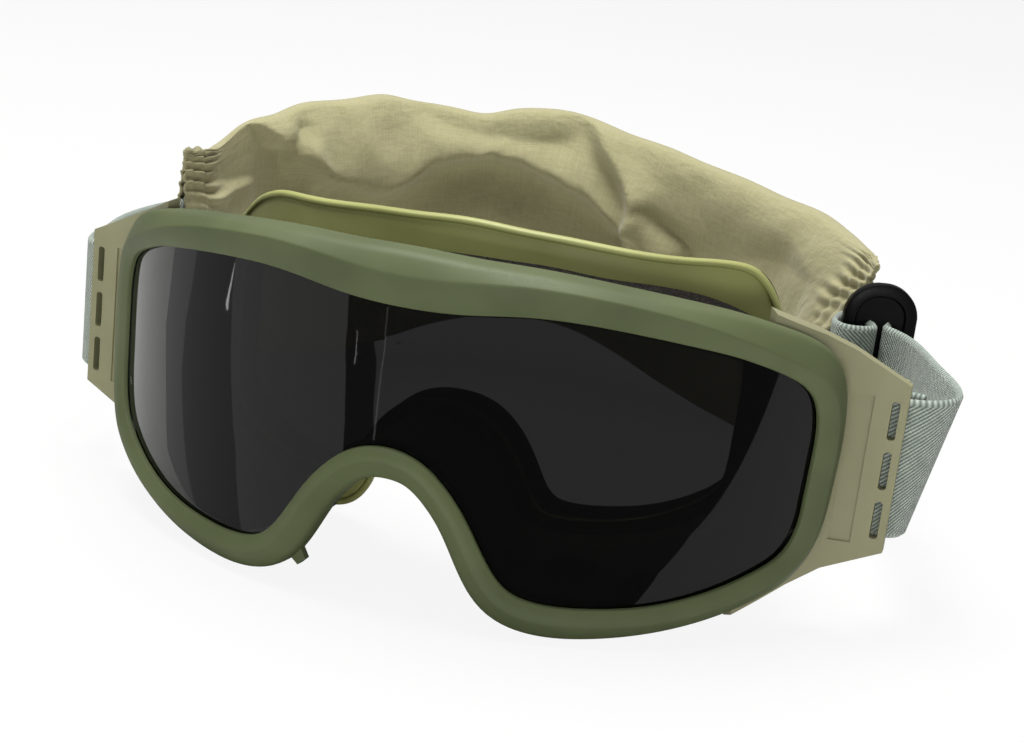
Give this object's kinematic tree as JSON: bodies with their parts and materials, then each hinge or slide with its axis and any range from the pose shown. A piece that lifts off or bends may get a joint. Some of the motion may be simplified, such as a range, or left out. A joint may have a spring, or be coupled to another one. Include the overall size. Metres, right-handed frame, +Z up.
{
  "type": "protective goggles",
  "caption": "Wide-lens protective goggles: vented moulded frame, foam face seal, side outriggers, elastic strap with a slider, and a gathered cloth sleeve that slips over the strap.",
  "frame": {"origin": "on the ground, below the middle of the bounding box, with the goggles upright and the strap opened out in its worn loop", "axes": "+X to the wearer's left, -Y the way the lens faces, +Z up"},
  "size_m": [0.2391, 0.2198, 0.0886],
  "materials": {
    "frame_green": "satin moulded polymer, dark olive green",
    "lens_smoke": "polished smoke-tinted polycarbonate",
    "flange_olive": "soft matte elastomer, olive",
    "foam_dark": "open-cell foam, dark grey",
    "foam_skin": "brushed fleece facing on the foam",
    "outrigger_tan": "matte moulded polymer, tan",
    "strap_webbing": "woven elastic webbing, grey-green",
    "slider_black": "satin black polymer",
    "sleeve_khaki": "plain-woven cotton cloth, khaki",
    "hem_elastic": "flat woven elastic"
  },
  "bodies": {
    "goggles": {"frame": "frame_green", "lens": "lens_smoke", "face_flange": "flange_olive", "face_foam": "foam_dark", "foam_liner": "foam_skin", "top_vent_foam": "foam_dark", "bottom_vent_foam_left": "foam_dark", "bottom_vent_foam_right": "foam_dark", "cover_sleeve": "sleeve_khaki", "hem_elastic_left": "hem_elastic", "hem_elastic_right": "hem_elastic", "strap_side_left": "strap_webbing", "strap_side_right": "strap_webbing", "strap_rear": "strap_webbing"},
    "outrigger_left": {"outrigger_left": "outrigger_tan", "strap_lead_left": "strap_webbing"},
    "outrigger_right": {"outrigger_right": "outrigger_tan", "strap_lead_right": "strap_webbing"},
    "slider": {"strap_slider": "slider_black"}
  },
  "joints": [
    {"name": "outrigger_left_hinge", "type": "hinge", "parent": "goggles", "child": "outrigger_left", "pos_m": [0.07686, -0.06929, 0.043], "axis": [0, 0, 1], "range_deg": [0, 20], "deforming": ["strap_lead_left"]},
    {"name": "outrigger_right_hinge", "type": "hinge", "parent": "goggles", "child": "outrigger_right", "pos_m": [-0.07686, -0.06929, 0.043], "axis": [0, 0, -1], "range_deg": [0, 20], "deforming": ["strap_lead_right"]},
    {"name": "slider_slide", "type": "slide", "parent": "goggles", "child": "slider", "axis": [0.3529, -0.9357, 0], "range_m": [0, 0.012], "deforming": ["strap_side_left"]}
  ]
}
